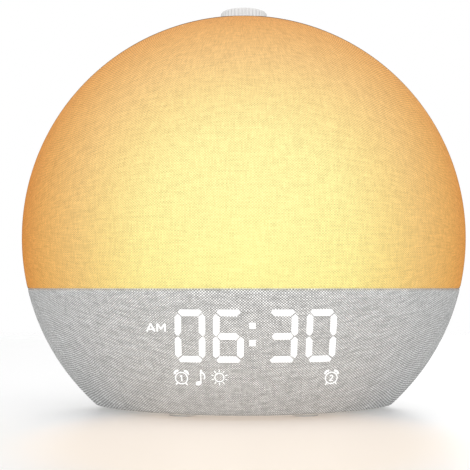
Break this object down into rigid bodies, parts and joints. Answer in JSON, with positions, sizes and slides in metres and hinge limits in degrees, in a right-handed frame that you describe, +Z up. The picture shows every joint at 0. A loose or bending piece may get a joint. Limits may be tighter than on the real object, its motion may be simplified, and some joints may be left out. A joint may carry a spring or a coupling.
{
  "type": "sunrise alarm clock",
  "caption": "Round cloth-covered wake-up lamp and clock with a domed glowing front, grey cloth base with a seven-segment display, flat foot, push knob on top and buttons behind.",
  "frame": {"origin": "on the table, in the middle of the whole clock seen from above", "axes": "+X to the right of someone facing the clock, +Y to its back, +Z up"},
  "size_m": [0.185, 0.0974, 0.169],
  "materials": {
    "lamp_cloth": "linen weave over a lit dome",
    "base_cloth": "heathered linen weave",
    "milky_plastic": "milky, lets light through",
    "white_plastic": "moulded, matt",
    "cover_plastic": "fine moulded grain",
    "knob_plastic": "satin moulded",
    "board": "green solder mask",
    "chips": "small light sources",
    "rubber": "matt",
    "steel": "plain",
    "paper_cone": "pressed pulp",
    "black_plastic": "moulded",
    "screws": "plated",
    "lead": "insulation"
  },
  "bodies": {
    "housing": {"lamp_cloth": "lamp_cloth", "base_cloth": "base_cloth", "diffuser_dome": "milky_plastic", "base_front_shell": "milky_plastic", "chassis": "white_plastic", "light_shelf": "white_plastic", "led_board": "board", "lamp_leds": "chips", "display_housing": "white_plastic", "segment_lenses": "milky_plastic", "display_leds": "chips", "display_board": "board", "rear_shell": "cover_plastic", "speaker_gasket": "rubber", "speaker_frame": "steel", "speaker_cone": "paper_cone", "speaker_magnet": "steel", "tact_switches": "black_plastic", "button_board": "board", "main_board": "board", "board_parts": "black_plastic", "cell_holder": "black_plastic", "coin_cell": "steel", "dc_jack": "black_plastic", "encoder_body": "steel", "encoder_nut": "steel", "encoder_board": "board", "base_plate": "cover_plastic", "foot_pads": "rubber", "ballast": "steel", "case_screws": "screws", "base_screws": "screws", "board_screws": "screws", "speaker_screws": "screws", "display_lead": "lead", "lamp_lead": "lead", "speaker_lead": "lead"},
    "knob_press": {"encoder_plunger": "black_plastic"},
    "knob": {"knob": "knob_plastic", "encoder_shaft": "steel"},
    "button_1": {"button_1": "knob_plastic"},
    "button_2": {"button_2": "knob_plastic"},
    "button_3": {"button_3": "knob_plastic"},
    "button_4": {"button_4": "knob_plastic"},
    "button_5": {"button_5": "knob_plastic"}
  },
  "joints": [
    {"name": "knob_push", "type": "slide", "parent": "housing", "child": "knob_press", "axis": [0, 0, -1], "range_m": [0, 0.0007], "stiffness_N_per_m": 2500, "springref_m": -0.0006},
    {"name": "knob_turn", "type": "hinge", "parent": "knob_press", "child": "knob", "pos_m": [0, 0.0307, 0.163], "axis": [0, 0, 1], "continuous": true},
    {"name": "button_1_push", "type": "slide", "parent": "housing", "child": "button_1", "axis": [0, -1, 0], "range_m": [0, 0.0005], "stiffness_N_per_m": 1500, "springref_m": -0.0005},
    {"name": "button_2_push", "type": "slide", "parent": "housing", "child": "button_2", "axis": [0, -1, 0], "range_m": [0, 0.0005], "stiffness_N_per_m": 1500, "springref_m": -0.0005},
    {"name": "button_3_push", "type": "slide", "parent": "housing", "child": "button_3", "axis": [0, -1, 0], "range_m": [0, 0.0005], "stiffness_N_per_m": 1500, "springref_m": -0.0005},
    {"name": "button_4_push", "type": "slide", "parent": "housing", "child": "button_4", "axis": [0, -1, 0], "range_m": [0, 0.0005], "stiffness_N_per_m": 1500, "springref_m": -0.0005},
    {"name": "button_5_push", "type": "slide", "parent": "housing", "child": "button_5", "axis": [0, -1, 0], "range_m": [0, 0.0005], "stiffness_N_per_m": 1500, "springref_m": -0.0005}
  ]
}
